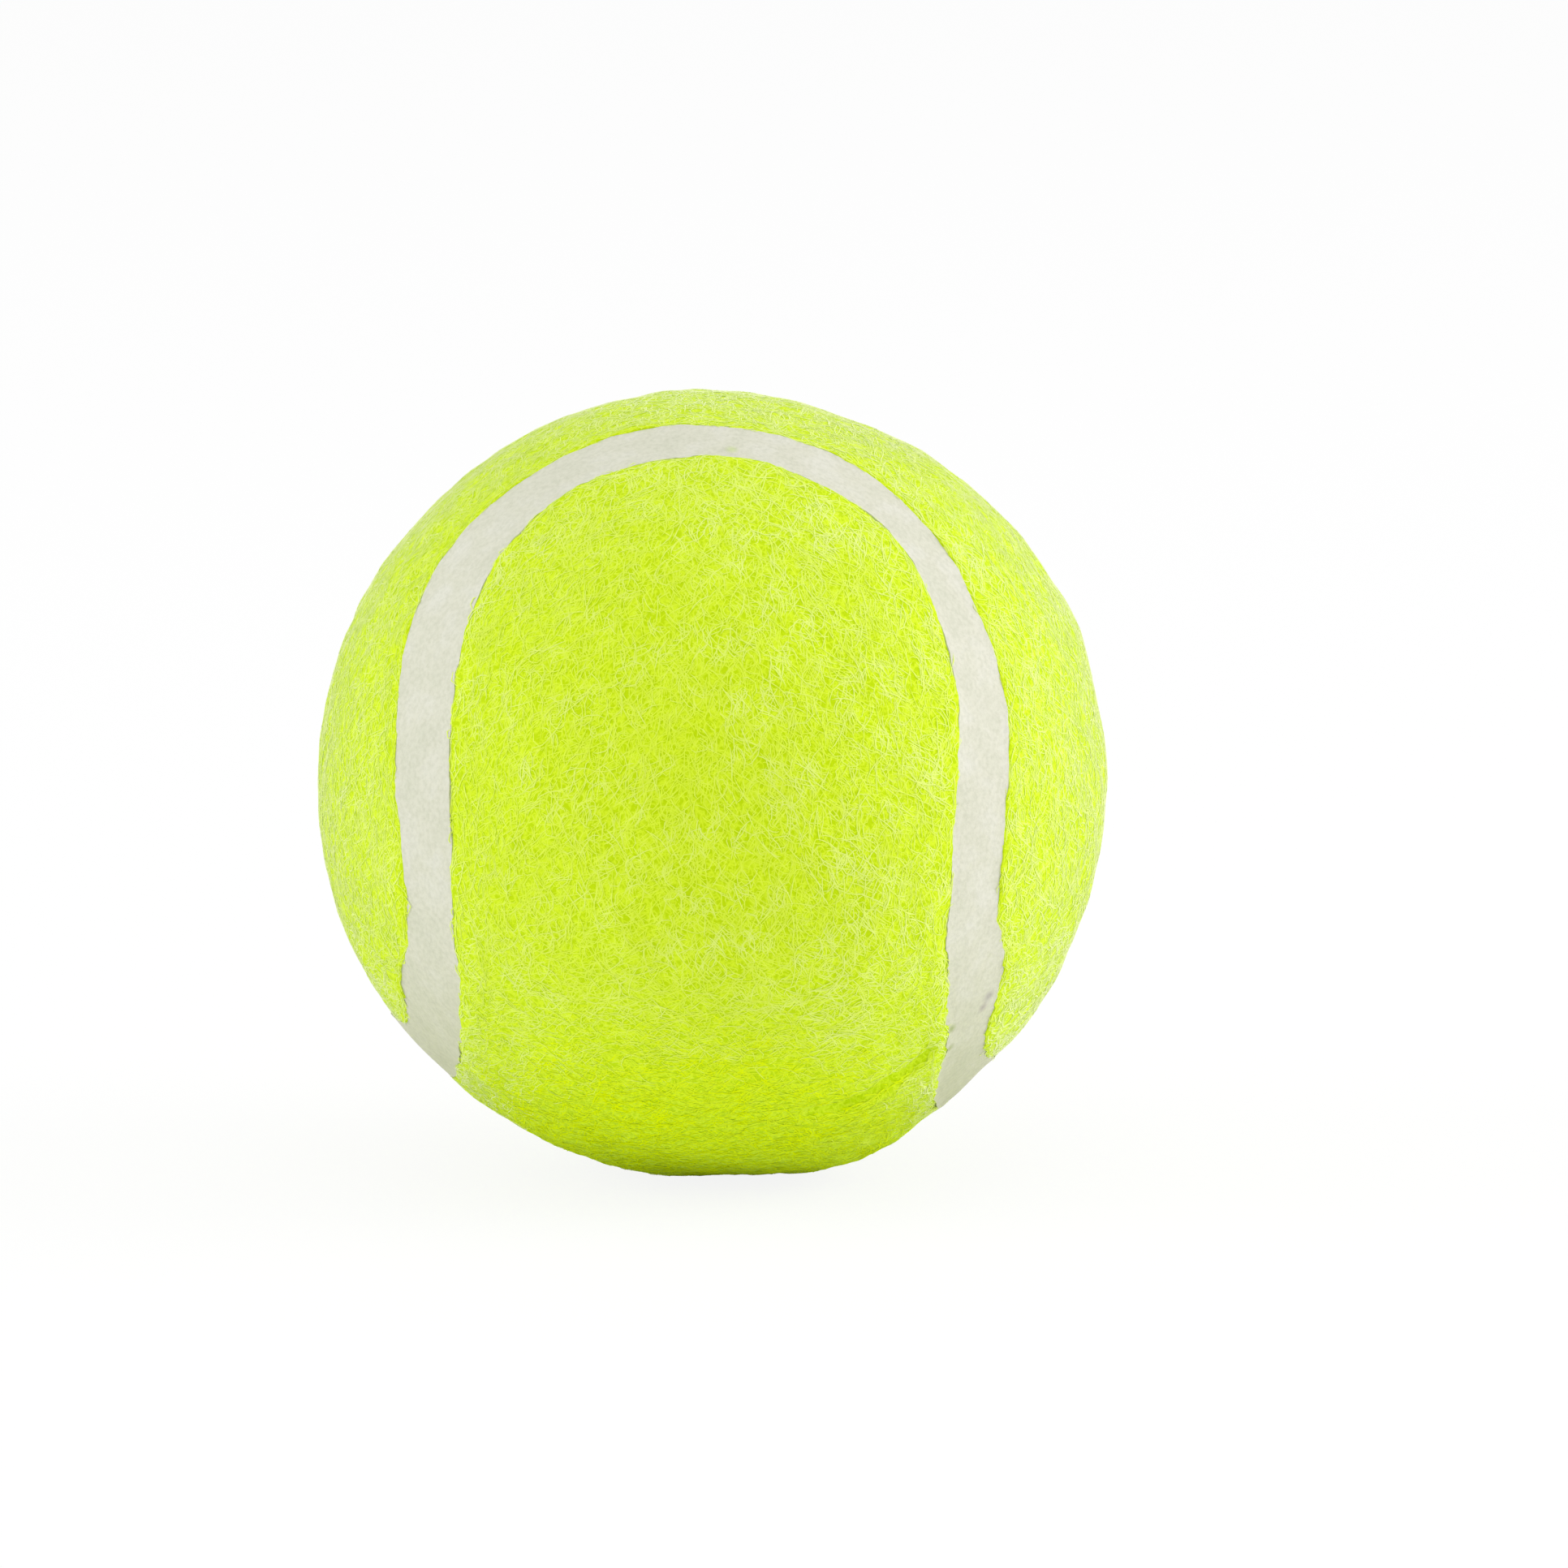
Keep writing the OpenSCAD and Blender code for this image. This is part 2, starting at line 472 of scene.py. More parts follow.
def is_seen(tree):
    """One where the camera, a mirror or a glass looks, and nought where light only bounces."""
    rays = add_node(tree, "ShaderNodeLightPath").outputs
    seen = rays["Is Camera Ray"]
    for other in ("Is Glossy Ray", "Is Transmission Ray"):
        either = add_node(tree, "ShaderNodeMath", operation="MAXIMUM")
        tree.links.new(seen, either.inputs[0])
        tree.links.new(rays[other], either.inputs[1])
        seen = either.outputs["Value"]
    return seen


def mix_shaders(tree, share, first, second, output):
    """Sends two shaders to the output of the tree, in the share of the second."""
    mix = add_node(tree, "ShaderNodeMixShader")
    tree.links.new(share, mix.inputs["Fac"])
    tree.links.new(first, mix.inputs[1])
    tree.links.new(second, mix.inputs[2])
    tree.links.new(mix.outputs["Shader"], tree.nodes[output].inputs["Surface"])


def white_floor():
    """Pale paint that glows white where it is seen."""
    material, tree, surface = new_finish("white_floor")
    tree.nodes.remove(surface)
    paint = add_node(tree, "ShaderNodeBsdfDiffuse", Color=FLOOR_PAINT).outputs["BSDF"]
    glow = add_node(tree, "ShaderNodeEmission", Color=WHITE, Strength=1.0).outputs["Emission"]
    share = add_node(tree, "ShaderNodeMath", operation="MULTIPLY")
    share.inputs[1].default_value = FLOOR_WHITE
    tree.links.new(is_seen(tree), share.inputs[0])
    mix_shaders(tree, share.outputs["Value"], paint, glow, "Material Output")
    return material


FLOOR_FINISH = white_floor()
print(f"the floor shows {FLOOR_WHITE:.0%} plain white")

# %% [markdown]
# The floor is a square under the ball, far larger than the picture. As with every piece below,
# the object stays at the origin and its place goes into its mesh, so that patterns in Object
# coordinates stay put.

# %% Lay the floor
FLOOR_SIDE = 6.0


def put(name, mesh, finish=None):
    """A piece at the origin, with its place in its mesh."""
    mesh.name = name
    if finish:
        mesh.materials.append(finish)
    piece = bpy.data.objects.new(name, mesh)
    scene.collection.objects.link(piece)
    return piece


square = bmesh.new()
bmesh.ops.create_grid(square, x_segments=1, y_segments=1, size=FLOOR_SIDE / 2)
bmesh.ops.translate(square, verts=square.verts, vec=(0, 0, cad_low.z))
floor_mesh = bpy.data.meshes.new("floor")
square.to_mesh(floor_mesh)
square.free()
floor = put("floor", floor_mesh, FLOOR_FINISH)
print("floor at", round(cad_low.z / MM, 2), "mm")

# %% [markdown]
# Most of the light is a white sky all round, as in a light tent, with a soft box on each side and
# a weak one above. A single lamp would be simpler, but it would give the ball a dark side, which
# the photograph doesn't have. The sky lights the ball at one strength and is seen at another.

# %% Sky and soft boxes
SKY_STRENGTH = 0.695
PLAIN = (1, 1, 1)
# Place and side in metres, power in watts and tint of each box
SOFT_BOXES = {
    "right_box": ((0.85, 0.03, 0.35), 0.6, 4.1, (1, 0.965, 1)),
    "left_box": ((-0.85, -0.2, 0.3), 0.6, 2.6, PLAIN),
    "top_box": ((0.05, -0.2, 0.9), 0.7, 1.2, PLAIN),
}


def white_sky():
    """A sky that lights the ball evenly and looks plain white."""
    world = bpy.data.worlds.new("light_tent")
    world.use_nodes = True
    tree = world.node_tree
    light = tree.nodes["Background"]
    light.inputs["Color"].default_value = WHITE
    light.inputs["Strength"].default_value = SKY_STRENGTH
    shown = add_node(tree, "ShaderNodeBackground", Color=WHITE, Strength=1.0)
    mix_shaders(tree, is_seen(tree), light.outputs["Background"], shown.outputs["Background"],
                "World Output")
    return world


def soft_box(name, place, side, power, tint):
    """A square lamp that faces the ball."""
    lamp = bpy.data.lights.new(name, "AREA")
    lamp.size = side
    lamp.energy = power
    lamp.color = tint
    box = bpy.data.objects.new(name, lamp)
    scene.collection.objects.link(box)
    box.location = place
    box.rotation_euler = Vector(place).to_track_quat("Z", "Y").to_euler()


scene.world = white_sky()
for name, settings in SOFT_BOXES.items():
    soft_box(name, *settings)
print("lit by", scene.world.name, *SOFT_BOXES)

# %% [markdown]
# ## Where the seam runs
# The real seam is one closed loop that curves all the time. Here it is never drawn as a line.
# One function tells how far any spot of the ball is from the middle of the seam, and another
# which way leads across it. Both take many unit directions at once, in the seam's own axes, so
# they serve the panels, the band and every fibre alike.

# %% The seam as a distance
FRONT_PANEL = 1
SIDE_PANEL = -1
TINY = 1e-12


def unit(vectors):
    """The vectors, each at a length of one."""
    return vectors / np.maximum(np.linalg.norm(vectors, axis=1, keepdims=True), TINY)


def across_seam(spots):
    """How far each unit direction is from the middle of the seam, positive on the front panel."""
    from_front = np.arccos(np.clip(np.abs(spots[:, 1]), 0, 1))
    from_side = np.arccos(np.clip(np.abs(spots[:, 0]), 0, 1))
    angle = np.where(spots[:, 2] >= 0, LOBE_ANGLE - from_front, from_side - LOBE_ANGLE)
    return angle * nap_r


def towards_front(spots):
    """The direction in the surface that leads across the seam to the front panel."""
    above = spots[:, 2:] >= 0
    pole = np.sign(spots) * np.where(above, (0, 1, 0), (1, 0, 0))
    level = pole - (pole * spots).sum(1, keepdims=True) * spots
    return unit(level) * np.where(above, 1, -1)


print(f"the seam is {4 * math.pi * nap_r * math.sin(LOBE_ANGLE) / MM:.0f} mm long")

# %% [markdown]
# ## How the made ball differs from the drawn one
# Felt gives under the cutter and the hand, so its edges wander and its top is lumpy. A noise
# texture lives in a finish and can't be asked for its height here. A sum of sine waves with random
# headings can: it is smooth, it hardly repeats, and one seed gives one wave on every piece.

# %% Waves
WAVE_COUNT = 14
WAVE_RATES = (0.7, 1.4)


def waves(points, length, seed):
    """A smooth random height at each point, of about one, in waves of about that length."""
    draws = np.random.default_rng(seed)
    headings = draws.normal(size=(WAVE_COUNT, 3))
    headings /= np.linalg.norm(headings, axis=1, keepdims=True)
    rates = 2 * math.pi / length * draws.uniform(*WAVE_RATES, WAVE_COUNT)
    shifts = draws.uniform(0, 2 * math.pi, WAVE_COUNT)
    heights = np.sin(points @ (headings * rates[:, None]).T + shifts).sum(1)
    return heights * math.sqrt(2 / WAVE_COUNT)


def layered_waves(points, layers):
    """Waves on top of each other. Each layer is a height, a length and a seed."""
    return sum(height * waves(points, length, seed) for height, length, seed in layers)


print("waves where the three axes leave the ball:", waves(np.eye(3) * nap_r, 7 * MM, 11).round(2))

# %% [markdown]
# Waves alone would make every stretch of the seam alike. On this ball the cover was pulled tighter
# in some places than in others. The seam could be redrawn through many points, but a short list of
# pulls, placed by what the photograph shows, says more plainly what happened to it.

# %% Pulls
# Photo x and y, reach along the seam and across it in mm, and shift towards the front panel in mm
PULLS = (
    (877, 800, 30.0, 30.0, 0.33),
    (850, 555, 17.0, 5.0, -0.95),
    (660, 605, 9.0, 1.9, -1.35),
    (640, 658, 6.0, 1.6, 0.35),
    (538, 740, 5.0, 2.2, -1.0),
    (558, 790, 3.5, 2.2, 0.6),
    (550, 910, 8.0, 2.4, 0.75),
    (556, 1245, 6.5, 2.4, 1.4),
    (498, 960, 5.0, 2.2, -0.95),
    (504, 1125, 5.0, 2.0, 0.9),
    (500, 1216, 1.6, 1.8, -0.75),
    (498, 1276, 2.2, 2.5, -2.4),
    (1060, 590, 4.0, 2.2, -0.25),
    (1095, 665, 3.5, 2.2, -0.6),
    (1145, 655, 6.0, 1.8, 0.5),
    (1222, 780, 6.0, 1.8, 0.35),
    (1230, 920, 4.5, 2.2, -1.05),
    (1235, 1135, 2.5, 1.8, 0.5),
    (1235, 1180, 1.5, 1.8, -0.7),
    (1180, 1190, 8.0, 2.4, 0.9),
    (1165, 1298, 1.6, 1.8, -0.6),
    (1228, 1270, 1.8, 1.8, 0.9),
    (525, 1060, 4.0, 4.0, 0.3),
    (1222, 1302, 6.0, 4.5, 2.2),
    (1185, 1345, 7.0, 3.0, 1.0),
)
pulled = np.array([seam_spot(x, y) for x, y, *_ in PULLS])
print(len(PULLS), "pulls, up to", max(abs(amount) for *_, amount in PULLS), "mm")

# %% [markdown]
# At any spot the seam has moved by its waves and its pulls. The short waves are stronger on the
# lower half, where the cut edge of this ball is ragged. A finished point moves with the seam, less
# and less away from it, and is then turned the way the ball lies. Every piece goes through the
# same last function, so felt and rubber keep meeting along every wave.

# %% From the drawn ball to the made one
UP = AS_IT_LIES[2]
SLOW_WAVES = ((0.05 * MM, 7 * MM, 11),)
RAGGED_WAVES = ((0.09 * MM, 2.4 * MM, 12), (0.07 * MM, 1.0 * MM, 13))
CLEAN_SHARE = 0.45
RAGGED_BELOW = 12 * MM
NEAR_SEAM = 3.6 * MM
FAR_FROM_SEAM = 11 * MM


def seam_shift(spots):
    """How far the seam has moved at each spot, in metres towards the front panel."""
    points = spots * nap_r
    ragged = CLEAN_SHARE + (1 - CLEAN_SHARE) * np.clip(-points @ UP / RAGGED_BELOW, 0, 1)
    shift = layered_waves(points, SLOW_WAVES) + ragged * layered_waves(points, RAGGED_WAVES)
    for middle, (_, _, along, across, amount) in zip(pulled, PULLS):
        offset = (points - middle * nap_r) / MM
        sideways = offset @ towards_front(middle[None])[0]
        lengthwise = (offset ** 2).sum(1) - sideways ** 2
        shift += amount * MM * np.exp(-0.5 * ((sideways / across) ** 2 + lengthwise / along ** 2))
    return shift


def as_made(points):
    """Points of the drawn ball, moved along with the wandering seam and turned as the ball lies."""
    radius = np.linalg.norm(points, axis=1, keepdims=True)
    spots = points / radius
    far = np.clip((np.abs(across_seam(spots)) - NEAR_SEAM) / (FAR_FROM_SEAM - NEAR_SEAM), 0, 1)
    held = 1 - far * far * (3 - 2 * far)
    moved = unit(spots + towards_front(spots) * (seam_shift(spots) * held / nap_r)[:, None])
    return moved * radius @ AS_IT_LIES.T


print("at the pulls the seam has moved up to", round(np.abs(seam_shift(pulled)).max() / MM, 2), "mm")

# %% [markdown]
# ## Felt panels
# Each panel is cut out of a ball, as a cover is cut out of a sheet: an icosphere is sliced along
# the seam's planes with bisect_plane and the waste is deleted. An icosphere has even triangles
# all over, where a globe of rings would crowd at its poles. The strip by the edge is divided once
# more, because the edge rolls down there. The cut is then extruded inwards to its real thickness.

# %% Slice a cover out of a ball
SAME_PLACE = 1e-7
RIM_ROWS = 2
MIDDLE = (0, 0, 0)


def slice_off(bm, half, plane, keep_inside):
    """Cuts one half of the ball along a pair of planes, and deletes what is between or beyond."""
    axis = Vector(plane).normalized()
    for side in (1, -1):
        faces = [f for f in bm.faces if f.calc_center_median().z * half > 0]
        verts = {v for f in faces for v in f.verts}
        edges = {e for f in faces for e in f.edges}
        bmesh.ops.bisect_plane(bm, geom=[*verts, *edges, *faces], dist=SAME_PLACE,
                               plane_co=Vector(plane) * side, plane_no=axis)
    limit = Vector(plane).length
    waste = []
    for face in bm.faces:
        centre = face.calc_center_median()
        if centre.z * half > 0 and (abs(centre.dot(axis)) > limit) == keep_inside:
            waste.append(face)
    bmesh.ops.delete(bm, geom=waste, context="FACES")


def cut_cover(outer_r, inner_r, fineness):
    """A closed front panel in the seam's axes, between two radii."""
    bm = bmesh.new()
    bmesh.ops.create_icosphere(bm, subdivisions=fineness, radius=outer_r)
    everything = [*bm.verts, *bm.edges, *bm.faces]
    bmesh.ops.bisect_plane(bm, geom=everything, dist=SAME_PLACE, plane_co=MIDDLE, plane_no=(0, 0, 1))
    slice_off(bm, 1, (0, outer_r * math.cos(end_edge), 0), keep_inside=False)
    slice_off(bm, -1, (outer_r * math.cos(side_edge), 0, 0), keep_inside=True)
    rim = {v for v in bm.verts if v.is_boundary}
    for _ in range(RIM_ROWS):
        rim |= {other for v in rim for e in v.link_edges for other in e.verts}
    strip = [e for e in bm.edges if e.verts[0] in rim and e.verts[1] in rim]
    bmesh.ops.subdivide_edges(bm, edges=strip, cuts=1, use_grid_fill=True)
    for vert in bm.verts:
        vert.co = vert.co.normalized() * outer_r
    made = bmesh.ops.extrude_face_region(bm, geom=list(bm.faces), use_keep_orig=True)["geom"]
    inner = [v for v in made if isinstance(v, bmesh.types.BMVert)]
    bmesh.ops.scale(bm, verts=inner, vec=(inner_r / outer_r,) * 3)
    bmesh.ops.triangulate(bm, faces=[f for f in bm.faces if len(f.verts) > 4])
    bmesh.ops.recalc_face_normals(bm, faces=bm.faces)
    return bm


print(f"a panel reaches {math.degrees(end_edge):.1f} degrees from the axis of its lobes, and its waist "
      f"keeps {math.degrees(side_edge):.1f} degrees from the other axis")

# %% [markdown]
# The top of the felt isn't a plain ball. It swells and sinks in a few places that the outline in
# the photograph shows, and the cover has a crease at the lower right. Sculpting would do for one
# mesh. Functions of the spot are used instead, so that the ground and the fibres on it agree.

# %% Swells and a crease
CREASE_PX = ((1008, 1373), (1038, 1368), (1066, 1354), (1090, 1339), (1123, 1325), (1157, 1296))
CREASE_W = 0.55 * MM
# Photo x and y, reach in mm and height in mm
SWELLS = (
    (1052, 1426, 4.5, 0.75),
    (877, 1453, 4.0, -0.35),
    (795, 1445, 2.5, 0.2),
    (672, 525, 4.0, 0.2),
    (456, 722, 4.0, 0.2),
    (1000, 495, 5.0, -0.25),
    (425, 1140, 4.0, 0.28),
    (1300, 721, 5.0, 0.22),
    (1121, 542, 4.0, -0.15),
)
SEAM_SWELLS = ((508, 1286, 3.2, 0.3), (1202, 1330, 3.2, 0.45))
crease = [seam_spot(x, y) * nap_r for x, y in CREASE_PX]


def near_crease(spots):
    """One in the fold that the cover has at the lower right, falling to nought beside it."""
    points = spots * nap_r
    distance = np.full(len(points), np.inf)
    for first, last in zip(crease, crease[1:]):
        run = last - first
        share = np.clip((points - first) @ run / (run @ run), 0, 1)
        distance = np.minimum(distance, np.linalg.norm(points - first - share[:, None] * run, axis=1))
    return np.exp(-((distance / CREASE_W) ** 2))


def bulge(spots, swells):
    """How far the felt or the rubber swells or sinks at each spot."""
    lift = np.zeros(len(spots))
    for x, y, reach, height in swells:
        distance = np.linalg.norm(spots - seam_spot(x, y), axis=1) * nap_r
        lift += height * MM * np.exp(-0.5 * (distance / (reach * MM)) ** 2)
    return lift


crease_length = sum(np.linalg.norm(last - first) for first, last in zip(crease, crease[1:]))
print(f"{len(SWELLS)} swells, and a crease {crease_length / MM:.1f} mm long")

# %% [markdown]
# The ground of the felt lies a little below the top of the nap, because the fibres come on top. It
# is lumpy all over, and more so in the strip near the ground that the ball rolls on. Its cut edge
# rolls down as a round shoulder. A bevel would make the shoulder too, but only on the mesh, and
# the fibres have to know its height.

# %% Height of the felt ground
FIBRE_LAYER_T = 0.20 * MM
GROUND_R = nap_r - FIBRE_LAYER_T
SHOULDER_W = 1.2 * MM
SHOULDER_T = 0.14 * MM
CREASE_T = 0.85 * MM
LUMPS = ((0.07 * MM, 11 * MM, 21), (0.04 * MM, 4 * MM, 22))
ROLLED_LUMPS = ((0.03 * MM, 1.1 * MM, 23),)
# The strip near the ground where the nap is painted in shade, and also lumpier from rolling
SHADE_AND_ROLL_START = -12 * MM
SHADE_AND_ROLL_END = -24 * MM
STRIP_HALF_W = 21 * MM


def lowness(spots):
    """Nought on most of the ball, rising to one near the ground in a strip below its middle, where the
    side lamps reach least. There the nap is painted in shade, and it is also lumpier from rolling.
    """
    low = np.clip((spots @ UP * nap_r - SHADE_AND_ROLL_START) / (SHADE_AND_ROLL_END - SHADE_AND_ROLL_START), 0, 1)
    return low * (1 - (spots[:, 0] * nap_r / STRIP_HALF_W).clip(-1, 1) ** 2)


def nap_ground(spots):
    """Radius of the felt under its fibres."""
    inset = np.abs(across_seam(spots)) - seam_half
    roll = np.clip(1 - inset / SHOULDER_W, 0, 1)
    drop = SHOULDER_T * (1 - np.sqrt(1 - roll * roll))
    on_ball = spots * nap_r
    lumps = layered_waves(on_ball, LUMPS) + lowness(spots) * layered_waves(on_ball, ROLLED_LUMPS)
    return GROUND_R - drop + lumps + bulge(spots, SWELLS) - CREASE_T * near_crease(spots)


swollen = np.array([seam_spot(x, y) for x, y, *_ in SWELLS])
print("radius of the felt ground at its swells in mm:", (nap_ground(swollen) / MM).round(2))

# %% [markdown]
# Every piece is first made as drawn and then moved, point by point, to where it is as made. A loop
# over tens of thousands of points is slow. foreach_get and foreach_set copy all of them at once,
# into an array and back.

# %% Points and shading of a mesh
def mesh_points(mesh):
    """The places of a mesh's points, one in each row."""
    flat = np.empty(3 * len(mesh.vertices))
    mesh.vertices.foreach_get("co", flat)
    return flat.reshape(-1, 3)


def set_points(mesh, points):
    """Moves a mesh's points."""
    mesh.vertices.foreach_set("co", points.ravel())
    mesh.update()


def shade_smooth(mesh):
    """Soft shading on every face."""
    mesh.polygons.foreach_set("use_smooth", np.ones(len(mesh.polygons), bool))


print("the floor has", len(mesh_points(floor_mesh)), "points")

# %% [markdown]
# The two panels are the same cut, one of them turned over about the diagonal between the lobe
# axes. Each has its felt and, below it, its woven backing. Modelling the second panel afresh would
# be twice the work and could differ from the first. Soft shading hides the faces of the round
# top, and sharp corners keep that shading from running down the cut edge.

# %% Make the four covers
TURN_OVER = Matrix.Rotation(math.pi, 3, Vector((1, 1, 0)))
CORNER_ANGLE = math.radians(50)
FELT_FINENESS = 7
BACKING_FINENESS = 6


def cover_piece(name, panel, outer_r, inner_r, fineness, finish, top_radius=None):
    """A cover of one panel, as made. Its top may have a radius of its own at each spot."""
    bm = cut_cover(outer_r, inner_r, fineness)
    if panel == SIDE_PANEL:
        bmesh.ops.rotate(bm, verts=bm.verts, cent=MIDDLE, matrix=TURN_OVER)
    mesh = bpy.data.meshes.new(name)
    bm.to_mesh(mesh)
    bm.free()
    points = mesh_points(mesh)
    if top_radius:
        spots = unit(points)
        top = np.linalg.norm(points, axis=1) > (outer_r + inner_r) / 2
        points = np.where(top[:, None], spots * top_radius(spots)[:, None], points)
    set_points(mesh, as_made(points))
    shade_smooth(mesh)
    mesh.set_sharp_from_angle(angle=CORNER_ANGLE)
    print(name, len(mesh.vertices), "points,", len(mesh.polygons), "faces")
    return put(name, mesh, finish)


felt = (GROUND_R, backing_r, FELT_FINENESS, FELT_MAT, nap_ground)
backing = (backing_r, coat_r, BACKING_FINENESS, BACKING)
front_felt = cover_piece("front_felt", FRONT_PANEL, *felt)
side_felt = cover_piece("side_felt", SIDE_PANEL, *felt)
front_backing = cover_piece("front_backing", FRONT_PANEL, *backing)
side_backing = cover_piece("side_backing", SIDE_PANEL, *backing)

# %% [markdown]
# ## Seam band
# The rubber in the gap has one cross-section all the way round: a slightly dished top, raised
# lips where it creeps up the felt, and a foot on the bonding coat. A curve with a bevel could
# carry it, but might twist on the way. A spin can't: it takes the section over the front lobe for
# half a turn, then under the ball about the other axis, over the back lobe and under again. Each
# spin takes over the last ring of the one before, so the only doubles are where the loop closes.

# %% Spin the seam band
BAND_STEPS = 170
BAND_COLUMNS = 12
BAND_DISH = 0.06 * MM
BAND_LIP = 0.06 * MM
LIP_SHARPNESS = 8
RING_GAP = 1e-6
FRONT_TO_BACK = (0, 1, 0)
SIDE_TO_SIDE = (1, 0, 0)
BAND_SPINS = (
    (FRONT_TO_BACK, -math.pi),
    (SIDE_TO_SIDE, math.pi),
    (FRONT_TO_BACK, math.pi),
    (SIDE_TO_SIDE, -math.pi),
)


def band_outline(bm):
    """The cross-section at the front right, where the middle plane of the seam cuts it."""
    corners = []
    for column in range(BAND_COLUMNS + 1):
        share = 2 * column / BAND_COLUMNS - 1
        angle = LOBE_ANGLE + share * (side_edge - LOBE_ANGLE)
        radius = seam_r - BAND_DISH * (1 - share * share) + BAND_LIP * abs(share) ** LIP_SHARPNESS
        corners.append((radius, angle))
    corners += [(coat_r, side_edge), (coat_r, end_edge)]
    verts = [bm.verts.new((r * math.sin(a), -r * math.cos(a), 0)) for r, a in corners]
    edges = [bm.edges.new((verts[i - 1], verts[i])) for i in range(len(verts))]
    return verts + edges


def spin_band():
    """The closed band in the seam's axes, as a mesh."""
    bm = bmesh.new()
    ring = band_outline(bm)
    for axis, angle in BAND_SPINS:
        ring = bmesh.ops.spin(bm, geom=ring, cent=MIDDLE, axis=axis, dvec=(0, 0, 0), angle=angle,
                              steps=BAND_STEPS, use_merge=False)["geom_last"]
    bmesh.ops.remove_doubles(bm, verts=bm.verts, dist=RING_GAP)
    bmesh.ops.recalc_face_normals(bm, faces=bm.faces)
    mesh = bpy.data.meshes.new("seam_rubber_band")
    bm.to_mesh(mesh)
    bm.free()
    return mesh


band_mesh = spin_band()
print("seam band", len(band_mesh.vertices), "points,", len(band_mesh.polygons), "faces")

# %% [markdown]
# The spun band is as even as a machined ring. The real one is soft, so its top gets slow waves and
# two swells that the photograph's outline shows. A Displace modifier would move the foot too. Here
# a point moves by the share of its height in the band, so the foot stays on the coat. Then the
# band wanders and turns with the panels beside it.

# %% Soften the band and put it in place
BAND_WAVES = ((0.03 * MM, 5 * MM, 31),)
drawn = mesh_points(band_mesh)
height_share = (np.linalg.norm(drawn, axis=1) - coat_r) / (seam_r - coat_r)
lift = height_share * (layered_waves(drawn, BAND_WAVES) + bulge(unit(drawn), SEAM_SWELLS))
set_points(band_mesh, as_made(drawn + unit(drawn) * lift[:, None]))
shade_smooth(band_mesh)
band_mesh.set_sharp_from_angle(angle=CORNER_ANGLE)
seam_band = put("seam_rubber_band", band_mesh, SEAM_RUBBER)
print(f"the band's top moved by {lift.min() / MM:.2f} to {lift.max() / MM:.2f} mm")

# %% [markdown]
# ## Felt fibres
# A nap of short curled fibres lies on each panel. Particle hair could grow it, but hair isn't carried
# over as a shape, so each fibre is a small mesh. Two kinds make the mat: short ones below, given a deeper
# tone as painted shade deep in the mat, and longer pale ones on top. The fibres are first drawn flat, as
# on a bench, each as an arc about the bench's origin, and laid on the ball later, each at its own spot.

# %% Two kinds of fibre, drawn flat
UNDER_FIBRES = {
    "layer": "under",
    "count": 15000,
    "points": 4,
    "length": 1.9 * MM,
    "lowest": -0.015 * MM,
    "highest": 0.03 * MM,
    "tones": (0.28, 0.50),
}
TOP_FIBRES = {
    "layer": "top",
    "count": 10000,
    "points": 5,
    "length": 2.6 * MM,
    "lowest": 0.0,
    "highest": 0.05 * MM,
    "tones": (0.46, 0.73),
}


def scatter(panel, count, draws):
    """Unit directions spread evenly over one panel."""
    spots = np.empty((0, 3))
    while len(spots) < count:
        more = unit(draws.normal(size=(count, 3)))
        spots = np.vstack([spots, more[panel * across_seam(more) > seam_half]])
    return spots[:count]


def draw_flat(heading, length, curl, points):
    """Arcs about the origin of the bench, one for each fibre."""
    bearing = heading[:, None] + curl[:, None] * np.linspace(-0.5, 0.5, points - 1)
    stride = length[:, None] / (points - 1)
    steps = np.stack([np.cos(bearing) * stride, np.sin(bearing) * stride], axis=2)
    arcs = np.concatenate([np.zeros((len(heading), 1, 2)), np.cumsum(steps, axis=1)], axis=1)
    return arcs - arcs.mean(1, keepdims=True)


for kind in (UNDER_FIBRES, TOP_FIBRES):
    print(kind["count"], kind["layer"], f"fibres of {kind['length'] / MM:.1f} mm in a piece")

# %% [markdown]
# The nap has a lie, as a carpet has. On this ball it runs along each lobe and leans in towards the
# lobe's middle line. The bench needs two directions in the surface at every spot, so that a flat
# fibre can be laid out there: along the floor, and up. The lie is then an angle between those two.
# A brush in the editor could comb hair like that, but not in a way that can be read back.

# %% Lie of the nap
LEAN = math.radians(30)
LEAN_W = 5.8 * MM


def level_and_rising(spots):
    """Two directions in the surface at each spot: along the floor, and up."""
    level = unit(np.cross(UP, spots))
    return level, np.cross(spots, level)


def lie_of_nap(panel, spots):
    """The angle at which the nap lies: along its lobe, and in towards the lobe's middle line."""
    level, rising = level_and_rising(spots)
    across_lobe = 0 if panel == FRONT_PANEL else 1
    off_middle = spots[:, across_lobe] * np.sign(level[:, across_lobe]) * nap_r
    return np.arctan2(rising[:, 2], level[:, 2]) + panel * LEAN * np.tanh(off_middle / LEAN_W)


def lay_out(spots, flat):
    """Unit directions of the flat points of each fibre, laid out about its spot."""
    level, rising = level_and_rising(spots)
    sideways = level[:, None] * flat[..., :1]
    points = spots[:, None] * nap_r + sideways + rising[:, None] * flat[..., 1:2]
    return unit(points.reshape(-1, 3))


facing = seam_spot(*BALL_CENTRE_PX)[None]
print(f"in the middle the nap lies at {math.degrees(lie_of_nap(FRONT_PANEL, facing)[0]):.0f} degrees")

